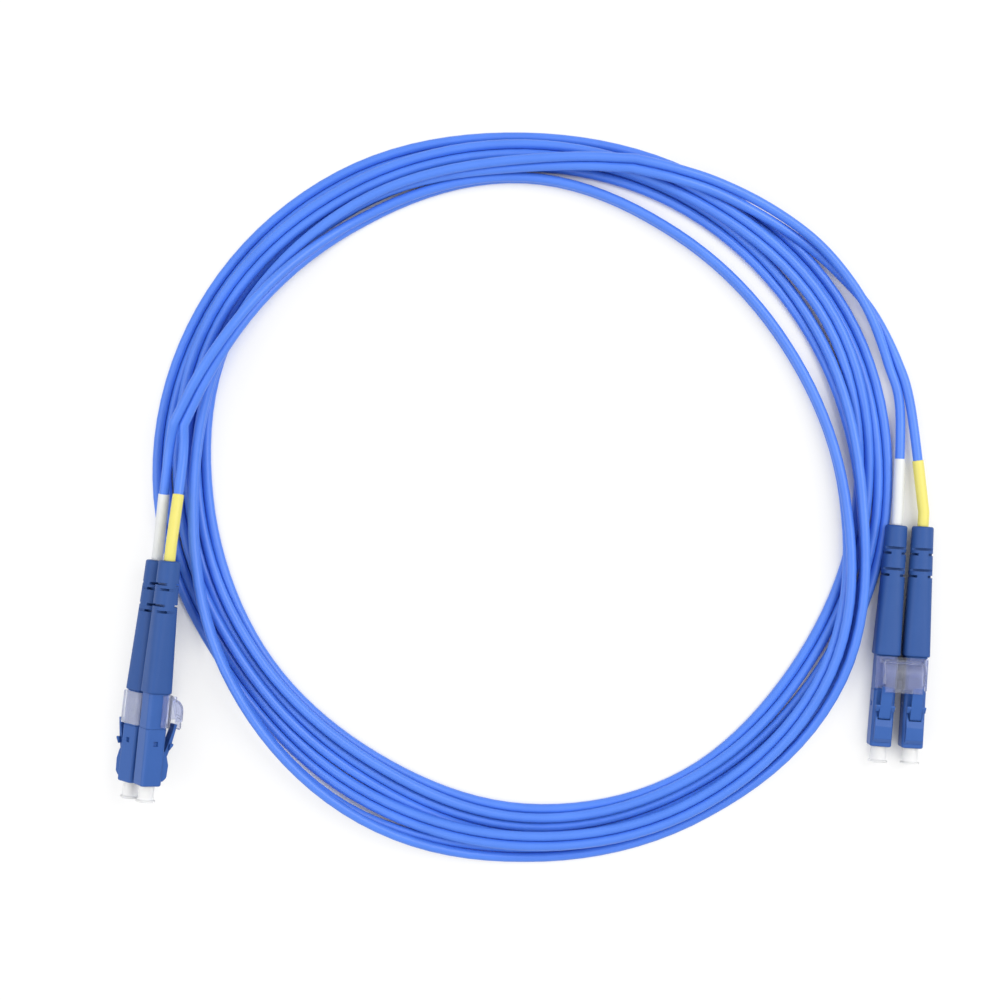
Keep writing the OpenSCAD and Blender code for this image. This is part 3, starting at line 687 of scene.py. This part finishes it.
def carried(outline, start, stop, along, edge):
    """Points and faces of an outline carried straight from start to stop. Along y it is drawn in
    x and z, and along x in y and z. Its two end edges are rounded to this radius."""
    pts = np.asarray(outline, float)
    turned_left = np.roll(pts, -1, 0)
    if (pts[:, 0] * turned_left[:, 1] - pts[:, 1] * turned_left[:, 0]).sum() < 0:
        pts = pts[::-1]
    step = np.roll(pts, -1, 0) - pts
    step /= np.linalg.norm(step, axis=1)[:, None]
    out = np.stack([step[:, 1], -step[:, 0]], 1)
    beside = np.roll(out, 1, 0)
    mitre = (out + beside) / np.maximum(0.4, 1 + (out * beside).sum(1))[:, None]
    sweep = np.linspace(0, np.pi / 2, 4)
    inset = np.r_[edge * (1 - np.sin(sweep)), edge * (1 - np.sin(sweep[::-1]))]
    place = np.r_[start + edge * (1 - np.cos(sweep)), stop - edge * (1 - np.cos(sweep[::-1]))]
    flat = pts[None] - inset[:, None, None] * mitre[None]
    third = np.broadcast_to(place[:, None], flat.shape[:2])
    first, last = flat[..., 0], flat[..., 1]
    rings = np.stack((first, third, last) if along == "y" else (third, first, last), -1)
    count, around = rings.shape[:2]
    i, j = np.arange(count - 1)[:, None], np.arange(around)[None, :]
    nxt = (j + 1) % around
    quads = np.stack(
        [i * around + j, i * around + nxt, (i + 1) * around + nxt, (i + 1) * around + j], -1
    ).reshape(-1, 4)
    faces = [list(map(int, q)) for q in quads]
    faces.append([int(k) for k in range(around)][::-1])
    faces.append([int((count - 1) * around + k) for k in range(around)])
    if along == "y":
        faces = [f[::-1] for f in faces]
    return rings.reshape(-1, 3), faces


def assembled(name, solids, end, material):
    """One piece of several carried outlines, set down in a plug's place."""
    points, faces, base = [], [], 0
    for verts, polygons in solids:
        points.append(verts)
        faces += [[base + k for k in f] for f in polygons]
        base += len(verts)
    mesh = bpy.data.meshes.new(name)
    mesh.from_pydata(in_plug(end, np.concatenate(points)).tolist(), [], faces)
    mesh.shade_smooth()
    mesh.set_sharp_from_angle(angle=SHARP_EDGE)
    piece = bpy.data.objects.new(name, mesh)
    bpy.context.scene.collection.objects.link(piece)
    even = piece.modifiers.new("flat_faces", "WEIGHTED_NORMAL")
    even.keep_sharp = True
    piece.data.materials.append(material)
    return piece


plug_blue = plastic(
    "plug_blue", *PLUG_BLUE, 4.0, 0.12, 0.38, 0.16, 0.004, **{"Specular IOR Level": 0.24}
)
# The raised block in front of the latch's root: a body with a ramp, and a cheek each side of
# the root
block_outline = eased(
    [(40.62, 1.9), (45.4, 1.9), (45.4, 2.56), (44.6, 3.36), (42.0, 3.51), (40.62, 3.10)], 0.12
)
cheek_outline = eased([(39.1, 1.9), (40.9, 1.9), (40.9, 3.17), (40.3, 3.01), (39.1, 2.31)], 0.08)
BLOCK_HALF = 1.8
CHEEK_INNER = 1.29
block = [
    carried(block_outline, -BLOCK_HALF, BLOCK_HALF, "y", 0.1),
    carried(cheek_outline, -BLOCK_HALF, -CHEEK_INNER, "y", 0.06),
    carried(cheek_outline, CHEEK_INNER, BLOCK_HALF, "y", 0.06),
]
for end in ENDS:
    rear = joined_rings(f"{end}_square_body", in_plug(end, body_rings(rear_stations)), True)
    rear.data.materials.append(plug_blue)
    rear.modifiers.new("flat_faces", "WEIGHTED_NORMAL").keep_sharp = True
    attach(rear, ROOT)
    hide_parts(f"{end}_rear_body")
    shell = joined_rings(f"{end}_port_housing", in_plug(end, body_rings(housing_stations)), True)
    shell.data.materials.append(plug_blue)
    shell.modifiers.new("flat_faces", "WEIGHTED_NORMAL").keep_sharp = True
    raised = assembled(f"{end}_raised_block", block, end, plug_blue)
    for piece in (shell, raised):
        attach(piece, ROOT)
        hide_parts(f"{end}_housing")


# ---- The latches ------------------------------------------------------------------------------
# A springy arm rises to the rear from its root on the housing. A lug on each side catches the
# port, and pressing the arm's tail lets it go.

arm_outline = eased(
    [
        (40.38, 2.62), (40.45, 3.15), (40.1, 3.40), (37.6, 4.13), (35.0, 4.68), (33.6, 4.94),
        (33.6, 4.30), (35.0, 4.06), (37.4, 3.40), (39.6, 2.62), (39.85, 2.50),
    ],
    0.12,
)
lug_outline = eased([(38.9, 3.35), (37.9, 4.1), (37.5, 4.1), (37.6, 3.45)], 0.07)
ARM_HALF = 1.15
LUG_INNER = 1.1
LUG_OUTER = 1.975
arm = [
    carried(arm_outline, -ARM_HALF, ARM_HALF, "y", 0.09),
    carried(lug_outline, -LUG_OUTER, -LUG_INNER, "y", 0.07),
    carried(lug_outline, LUG_INNER, LUG_OUTER, "y", 0.07),
]
for end in ENDS:
    latch = assembled(f"{end}_latch_arm", arm, end, plug_blue)
    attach(latch, f"{end}_latch" if end.startswith("left") else "right_latches")
    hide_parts(f"{end}_latch")


# ---- The clear clips and triggers -------------------------------------------------------------
# Clear, slightly lilac polycarbonate. One wide clip joins the right-hand plugs and carries one
# trigger over both latches; on the left one plug wears a plain clip and the other a saddle.

CLEAR_LILAC = ((0.80, 0.83, 0.95), (0.76, 0.79, 0.93))
CLIP_START = 27.5
CLIP_END = 34.2
CLIP_HALF = 2.8
MOUTH = 1.3
# The hinge of a trigger: its place along and over the plug, and its pin's radius
HINGE_X = 28.3
HINGE_Z = 3.25
PIN_R = 0.35
# A post beside the hinge: its length, thickness, height and distance out from the trigger's side
POST = (1.2, 0.55, 0.9, 0.38)
clear_clip = plastic(
    "clear_clip", *CLEAR_LILAC, 3.0, 0.5, 0.16, 0.10, 0.003,
    **{"Transmission Weight": 0.92, "IOR": 1.24},
)
# The plain clip is milkier than the other two
milky_clip = plastic(
    "milky_clip", (0.86, 0.88, 0.95), (0.74, 0.77, 0.90), 1.6, 0.5, 0.22, 0.10, 0.003,
    **{"Transmission Weight": 0.74, "IOR": 1.24},
)


def posts(width):
    """The two posts on a clip's roof that carry a trigger of this width."""
    length, thick, tall, out = POST
    rear, front = HINGE_X - length / 2, HINGE_X + length / 2
    low, high = CLIP_HALF - 0.02, CLIP_HALF + tall
    foot = eased([(rear, low), (front, low), (front, high), (rear, high)], 0.15)
    places = [side * (width / 2 + out) for side in (-1, 1)]
    return [carried(foot, y - thick / 2, y + thick / 2, "y", 0.06) for y in places]


# Half sections, from the middle of the roof outwards and round
plain_half = [(0, 2.8), (2.3, 2.8), (2.8, 2.3), (2.8, -2.3), (2.3, -2.8), (MOUTH, -2.8),
              (MOUTH, -2.32), (1.7, -2.32), (2.32, -1.7), (2.32, 1.7), (1.7, 2.32), (0, 2.32)]
saddle_half = [(0, 2.8), (2.3, 2.8), (2.8, 2.3), (2.8, 0.55), (2.32, 0.55), (2.32, 1.7),
               (1.7, 2.32), (0, 2.32)]
pair_half = [
    (0, 2.8), (5.0, 2.8), (5.375, 2.55), (5.375, 1.78), (4.825, 2.32), (1.425, 2.32),
    (0.805, 1.7), (0.805, -1.7), (1.425, -2.32), (1.825, -2.32), (1.825, -2.8), (0, -2.8),
]


def section_of(half):
    """A whole section from a half one and its mirror image. The half's first and last points lie
    on the middle line, and each stands once."""
    right = np.asarray(half, float)
    left = (right * [-1, 1])[::-1]
    return np.concatenate([right, left[1:-1]])


TRIGGER_WALL = 0.45
WALL_STOP = 32.95
WALL_LOW = 4.45
ARCH_Z = 3.3
TOP_Z = 5.75
RIDGE = [(31.8, TOP_Z), (32.0, 5.95), (32.4, 5.95), (32.6, TOP_Z)]


def trigger_solids(width):
    """The hump that the thumb presses: an arched roof with a wall at each side, a rounded front
    edge over the latch's tail and a low ridge across it. The walls stop short of the tail. The
    arch is a quarter ellipse, outside and inside, and so is the front edge."""
    a = np.linspace(0, np.pi / 2, 9)
    roof = np.stack([HINGE_X + 2.6 * (1 - np.cos(a)), ARCH_Z + 2.45 * np.sin(a)], 1)
    under = np.stack([28.75 + 2.35 * (1 - np.cos(a)), ARCH_Z + 2.10 * np.sin(a)], 1)
    b = np.linspace(0, np.pi / 2, 6)
    nose = np.stack([34.25 + 0.45 * np.sin(b), 5.40 + 0.35 * np.cos(b)], 1)
    arch = np.concatenate([roof, RIDGE, nose, under[::-1]])
    cheek = np.concatenate([roof, [(WALL_STOP, TOP_Z), (WALL_STOP, WALL_LOW), (28.7, 3.0)]])
    turn = np.linspace(0, 2 * np.pi, 20, endpoint=False)
    pin = np.stack([HINGE_X + PIN_R * np.cos(turn), HINGE_Z + PIN_R * np.sin(turn)], 1)
    half = width / 2
    inner = half - TRIGGER_WALL
    return [
        carried(arch, -inner, inner, "y", 0.01),
        carried(cheek, -half, -inner, "y", 0.1),
        carried(cheek, inner, half, "y", 0.1),
        carried(pin, -inner, inner, "y", 0.02),
    ]


TRIGGER_WIDTH = 3.4
PAIR_TRIGGER_WIDTH = 8.65
for name, end, half, way, width, material in (
    ("left_a_clip", "left_a", plain_half, -1, 0, milky_clip),
    ("left_b_clip", "left_b", saddle_half, 1, TRIGGER_WIDTH, clear_clip),
    ("right_clip", "right_pair", pair_half, 1, PAIR_TRIGGER_WIDTH, clear_clip),
):
    walls = carried(eased(way * section_of(half), 0.12), CLIP_START, CLIP_END, "x", 0.10)
    clip = assembled(f"{name}_shell", [walls] + (posts(width) if width else []), end, material)
    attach(clip, ROOT)
    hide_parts(name)
for name, end, width in (
    ("left_b_trigger", "left_b", TRIGGER_WIDTH),
    ("right_trigger", "right_pair", PAIR_TRIGGER_WIDTH),
):
    hump = assembled(f"{name}_hump", trigger_solids(width), end, clear_clip)
    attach(hump, name)
    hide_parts(name)


# ---- The dust caps ----------------------------------------------------------------------------
# A soft milky cap pushed over each ferrule and into the plug's nose, turned up into a thin
# flange at its end to pull it by.

CAP_START = 43.4
CAP_END = 49.8
CAP_R = 1.6
CAP_FLANGE_R = 2.0
CAP_BORE_R = 0.725
CAP_WHITE = ((0.98, 0.98, 0.975), (0.95, 0.95, 0.95))
# Station and radius, from the bore's end by the bore, the mouth and the outside to the end face
cap_profile = np.array([
    (48.8, 0), (48.8, 0.6), (48.7, CAP_BORE_R), (43.55, CAP_BORE_R), (CAP_START, 0.85),
    (CAP_START, 1.44), (43.45, 1.54), (43.58, 1.59), (43.8, CAP_R), (46.0, CAP_R),
    (49.14, CAP_R), (49.27, 1.63), (49.34, 1.72), (49.37, 1.90), (49.41, 1.97),
    (49.48, CAP_FLANGE_R), (49.70, CAP_FLANGE_R), (49.77, 1.97), (CAP_END, 1.90),
    (CAP_END, 1.30), (49.74, 1.16), (49.62, 1.05), (49.58, 0.9), (49.57, 0),
])


def turned(profile, around=56):
    """A profile of station and radius turned about the plug's axis."""
    turn = np.linspace(0, 2 * np.pi, around, endpoint=False)
    x, r = profile[:, :1], profile[:, 1:]
    return np.stack(
        [np.broadcast_to(x, (len(x), around)), r * np.cos(turn), r * np.sin(turn)], -1
    )


cap_white = plastic(
    "cap_white", *CAP_WHITE, 2.0, 0.3, 0.34, 0.14, 0.004,
    **{"Transmission Weight": 0.50, "IOR": 1.25},
)
for end in ENDS:
    cap = joined_rings(f"{end}_turned_cap", in_plug(end, turned(cap_profile)), False)
    cap.data.materials.append(cap_white)
    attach(cap, f"{end}_dust_cap")
    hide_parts(f"{end}_dust_cap")


# ---- Inside each plug -------------------------------------------------------------------------
# The 1.25 mm zirconia ferrule in its plated flange, the spring behind it, the crimp ring over
# the trimmed aramid yarn, and the tight-buffered fibre.

steel = plastic(
    "plated_steel", (0.60, 0.60, 0.62), (0.52, 0.52, 0.55), 1.0, 0.08, 0.28, 0.14, 0.002,
    **{"Metallic": 1.0},
)
ceramic = plastic(
    "zirconia", (0.86, 0.84, 0.78), (0.83, 0.81, 0.75), 0.8, 0.1, 0.12, 0.06, 0.001
)
buffer_coat = plastic(
    "buffer_coat", (0.78, 0.80, 0.84), (0.74, 0.76, 0.80), 1.5, 0.2, 0.40, 0.12, 0.004
)
yarn = plastic("aramid", (0.80, 0.62, 0.16), (0.60, 0.42, 0.09), 0.25, 0.08, 0.62, 0.2, 0.03)


def finish(name, material):
    """Gives a node of the frame its finish."""
    nodes[name].data.materials.clear()
    nodes[name].data.materials.append(material)


for end in ENDS:
    finish(f"{end}_crimp_ring", steel)
    finish(f"{end}_spring", steel)
    finish(f"{end}_ferrule_flange", steel)
    finish(f"{end}_ferrule", ceramic)
    finish(f"{end}_fibre", buffer_coat)
finish("aramid_yarn", yarn)
